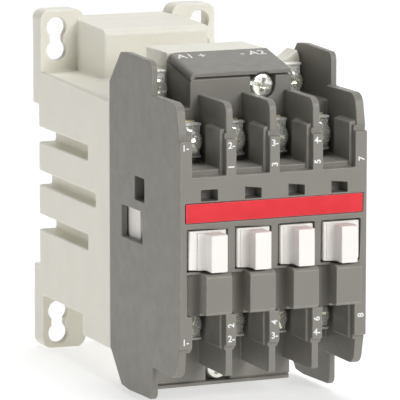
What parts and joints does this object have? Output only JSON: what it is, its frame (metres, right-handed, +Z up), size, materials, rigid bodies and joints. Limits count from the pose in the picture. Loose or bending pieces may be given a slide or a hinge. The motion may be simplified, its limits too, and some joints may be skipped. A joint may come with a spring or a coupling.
{
  "type": "din rail contactor",
  "caption": "Rail-mounted contactor with white contact pushers, screw terminals between partitions and a coil with its own magnet inside.",
  "frame": {"origin": "on the rear mounting plane, at the middle of the rail channel (the rail's centre line)", "axes": "+Y into the rail, so the front faces -Y; +X to the right seen from the front; +Z up"},
  "size_m": [0.044, 0.0946, 0.0801],
  "materials": {
    "base_plastic": "fine-grained light beige moulded plastic",
    "housing_plastic": "fine-grained warm grey moulded plastic",
    "carrier_plastic": "smooth white moulded plastic",
    "label_red": "printed red film",
    "zinc_steel": "zinc plated",
    "contact_brass": "bare brass with silver tips",
    "core_iron": "plain steel",
    "winding_copper": "enamelled copper wire",
    "cushion_rubber": "matt rubber"
  },
  "bodies": {
    "housing": {"base_housing": "base_plastic", "contact_housing": "housing_plastic", "coil_cap": "housing_plastic", "front_label": "label_red", "coil_bobbin": "base_plastic", "coil_winding": "winding_copper", "magnet_yoke": "core_iron", "magnet_cushion": "cushion_rubber", "return_spring_upper": "zinc_steel", "return_spring_lower": "zinc_steel", "din_latch_spring": "zinc_steel", "coil_terminal_left": "contact_brass", "coil_terminal_right": "contact_brass", "cap_screw_top": "zinc_steel", "cap_screw_bottom": "zinc_steel", "fixed_contact_1": "contact_brass", "fixed_contact_2": "contact_brass", "fixed_contact_3": "contact_brass", "fixed_contact_4": "contact_brass", "fixed_contact_5": "contact_brass", "fixed_contact_6": "contact_brass", "fixed_contact_7": "contact_brass", "fixed_contact_8": "contact_brass"},
    "carrier": {"contact_carrier": "carrier_plastic", "armature": "core_iron", "armature_pin": "zinc_steel", "contact_spring_1": "zinc_steel", "contact_spring_2": "zinc_steel", "contact_spring_3": "zinc_steel", "contact_spring_4": "zinc_steel"},
    "bridge_1": {"contact_bridge_1": "contact_brass"},
    "bridge_2": {"contact_bridge_2": "contact_brass"},
    "bridge_3": {"contact_bridge_3": "contact_brass"},
    "bridge_4": {"contact_bridge_4": "contact_brass"},
    "latch": {"din_latch": "core_iron"},
    "terminal_1_clamp_body": {"terminal_clamp_1": "zinc_steel"},
    "terminal_1_screw_body": {"terminal_screw_1": "zinc_steel"},
    "terminal_2_clamp_body": {"terminal_clamp_2": "zinc_steel"},
    "terminal_2_screw_body": {"terminal_screw_2": "zinc_steel"},
    "terminal_3_clamp_body": {"terminal_clamp_3": "zinc_steel"},
    "terminal_3_screw_body": {"terminal_screw_3": "zinc_steel"},
    "terminal_4_clamp_body": {"terminal_clamp_4": "zinc_steel"},
    "terminal_4_screw_body": {"terminal_screw_4": "zinc_steel"},
    "terminal_5_clamp_body": {"terminal_clamp_5": "zinc_steel"},
    "terminal_5_screw_body": {"terminal_screw_5": "zinc_steel"},
    "terminal_6_clamp_body": {"terminal_clamp_6": "zinc_steel"},
    "terminal_6_screw_body": {"terminal_screw_6": "zinc_steel"},
    "terminal_7_clamp_body": {"terminal_clamp_7": "zinc_steel"},
    "terminal_7_screw_body": {"terminal_screw_7": "zinc_steel"},
    "terminal_8_clamp_body": {"terminal_clamp_8": "zinc_steel"},
    "terminal_8_screw_body": {"terminal_screw_8": "zinc_steel"},
    "coil_left_clamp_body": {"coil_clamp_left": "zinc_steel"},
    "coil_left_screw_body": {"coil_screw_left": "zinc_steel"},
    "coil_right_clamp_body": {"coil_clamp_right": "zinc_steel"},
    "coil_right_screw_body": {"coil_screw_right": "zinc_steel"}
  },
  "joints": [
    {"name": "carrier_slide", "type": "slide", "parent": "housing", "child": "carrier", "axis": [0, 1, 0], "range_m": [0, 0.0043], "stiffness_N_per_m": 900, "springref_m": -0.002, "deforming": ["return_spring_upper", "return_spring_lower"]},
    {"name": "bridge_1_overtravel", "type": "slide", "parent": "carrier", "child": "bridge_1", "axis": [0, 1, 0], "range_m": [-0.0012, 0], "stiffness_N_per_m": 600, "deforming": ["contact_spring_1"]},
    {"name": "bridge_2_overtravel", "type": "slide", "parent": "carrier", "child": "bridge_2", "axis": [0, 1, 0], "range_m": [0, 0.0012], "stiffness_N_per_m": 600, "deforming": ["contact_spring_2"]},
    {"name": "bridge_3_overtravel", "type": "slide", "parent": "carrier", "child": "bridge_3", "axis": [0, 1, 0], "range_m": [0, 0.0012], "stiffness_N_per_m": 600, "deforming": ["contact_spring_3"]},
    {"name": "bridge_4_overtravel", "type": "slide", "parent": "carrier", "child": "bridge_4", "axis": [0, 1, 0], "range_m": [-0.0012, 0], "stiffness_N_per_m": 600, "deforming": ["contact_spring_4"]},
    {"name": "latch_slide", "type": "slide", "parent": "housing", "child": "latch", "axis": [0, 0, -1], "range_m": [0, 0.003], "stiffness_N_per_m": 400, "springref_m": -0.001, "deforming": ["din_latch_spring"]},
    {"name": "terminal_1_clamp_lift", "type": "slide", "parent": "housing", "child": "terminal_1_clamp_body", "axis": [0, -1, 0], "range_m": [0, 0.0021]},
    {"name": "terminal_1_screw_turn", "type": "hinge", "parent": "terminal_1_clamp_body", "child": "terminal_1_screw_body", "pos_m": [-0.0152, -0.0769, 0.0201], "axis": [0, -1, 0], "range_deg": [0, 1085]},
    {"name": "terminal_2_clamp_lift", "type": "slide", "parent": "housing", "child": "terminal_2_clamp_body", "axis": [0, -1, 0], "range_m": [0, 0.0021]},
    {"name": "terminal_2_screw_turn", "type": "hinge", "parent": "terminal_2_clamp_body", "child": "terminal_2_screw_body", "pos_m": [-0.0152, -0.0769, -0.0201], "axis": [0, -1, 0], "range_deg": [0, 1085]},
    {"name": "terminal_3_clamp_lift", "type": "slide", "parent": "housing", "child": "terminal_3_clamp_body", "axis": [0, -1, 0], "range_m": [0, 0.0021]},
    {"name": "terminal_3_screw_turn", "type": "hinge", "parent": "terminal_3_clamp_body", "child": "terminal_3_screw_body", "pos_m": [-0.005, -0.0769, 0.0201], "axis": [0, -1, 0], "range_deg": [0, 1085]},
    {"name": "terminal_4_clamp_lift", "type": "slide", "parent": "housing", "child": "terminal_4_clamp_body", "axis": [0, -1, 0], "range_m": [0, 0.0021]},
    {"name": "terminal_4_screw_turn", "type": "hinge", "parent": "terminal_4_clamp_body", "child": "terminal_4_screw_body", "pos_m": [-0.005, -0.0769, -0.0201], "axis": [0, -1, 0], "range_deg": [0, 1085]},
    {"name": "terminal_5_clamp_lift", "type": "slide", "parent": "housing", "child": "terminal_5_clamp_body", "axis": [0, -1, 0], "range_m": [0, 0.0021]},
    {"name": "terminal_5_screw_turn", "type": "hinge", "parent": "terminal_5_clamp_body", "child": "terminal_5_screw_body", "pos_m": [0.0052, -0.0769, 0.0201], "axis": [0, -1, 0], "range_deg": [0, 1085]},
    {"name": "terminal_6_clamp_lift", "type": "slide", "parent": "housing", "child": "terminal_6_clamp_body", "axis": [0, -1, 0], "range_m": [0, 0.0021]},
    {"name": "terminal_6_screw_turn", "type": "hinge", "parent": "terminal_6_clamp_body", "child": "terminal_6_screw_body", "pos_m": [0.0052, -0.0769, -0.0201], "axis": [0, -1, 0], "range_deg": [0, 1085]},
    {"name": "terminal_7_clamp_lift", "type": "slide", "parent": "housing", "child": "terminal_7_clamp_body", "axis": [0, -1, 0], "range_m": [0, 0.0021]},
    {"name": "terminal_7_screw_turn", "type": "hinge", "parent": "terminal_7_clamp_body", "child": "terminal_7_screw_body", "pos_m": [0.0154, -0.0769, 0.0201], "axis": [0, -1, 0], "range_deg": [0, 1085]},
    {"name": "terminal_8_clamp_lift", "type": "slide", "parent": "housing", "child": "terminal_8_clamp_body", "axis": [0, -1, 0], "range_m": [0, 0.0021]},
    {"name": "terminal_8_screw_turn", "type": "hinge", "parent": "terminal_8_clamp_body", "child": "terminal_8_screw_body", "pos_m": [0.0154, -0.0769, -0.0201], "axis": [0, -1, 0], "range_deg": [0, 1085]},
    {"name": "coil_left_clamp_lift", "type": "slide", "parent": "housing", "child": "coil_left_clamp_body", "axis": [0, -1, 0], "range_m": [0, 0.0021]},
    {"name": "coil_left_screw_turn", "type": "hinge", "parent": "coil_left_clamp_body", "child": "coil_left_screw_body", "pos_m": [-0.0167, -0.0617, 0.0297], "axis": [0, -1, 0], "range_deg": [0, 1085]},
    {"name": "coil_right_clamp_lift", "type": "slide", "parent": "housing", "child": "coil_right_clamp_body", "axis": [0, -1, 0], "range_m": [0, 0.0021]},
    {"name": "coil_right_screw_turn", "type": "hinge", "parent": "coil_right_clamp_body", "child": "coil_right_screw_body", "pos_m": [0.0159, -0.0617, 0.0297], "axis": [0, -1, 0], "range_deg": [0, 1085]}
  ],
  "couplings": [
    {"joint": "terminal_1_screw_turn", "follows": "terminal_1_clamp_lift", "rad_per_m": 8976},
    {"joint": "terminal_2_screw_turn", "follows": "terminal_2_clamp_lift", "rad_per_m": 8976},
    {"joint": "terminal_3_screw_turn", "follows": "terminal_3_clamp_lift", "rad_per_m": 8976},
    {"joint": "terminal_4_screw_turn", "follows": "terminal_4_clamp_lift", "rad_per_m": 8976},
    {"joint": "terminal_5_screw_turn", "follows": "terminal_5_clamp_lift", "rad_per_m": 8976},
    {"joint": "terminal_6_screw_turn", "follows": "terminal_6_clamp_lift", "rad_per_m": 8976},
    {"joint": "terminal_7_screw_turn", "follows": "terminal_7_clamp_lift", "rad_per_m": 8976},
    {"joint": "terminal_8_screw_turn", "follows": "terminal_8_clamp_lift", "rad_per_m": 8976},
    {"joint": "coil_left_screw_turn", "follows": "coil_left_clamp_lift", "rad_per_m": 8976},
    {"joint": "coil_right_screw_turn", "follows": "coil_right_clamp_lift", "rad_per_m": 8976}
  ]
}
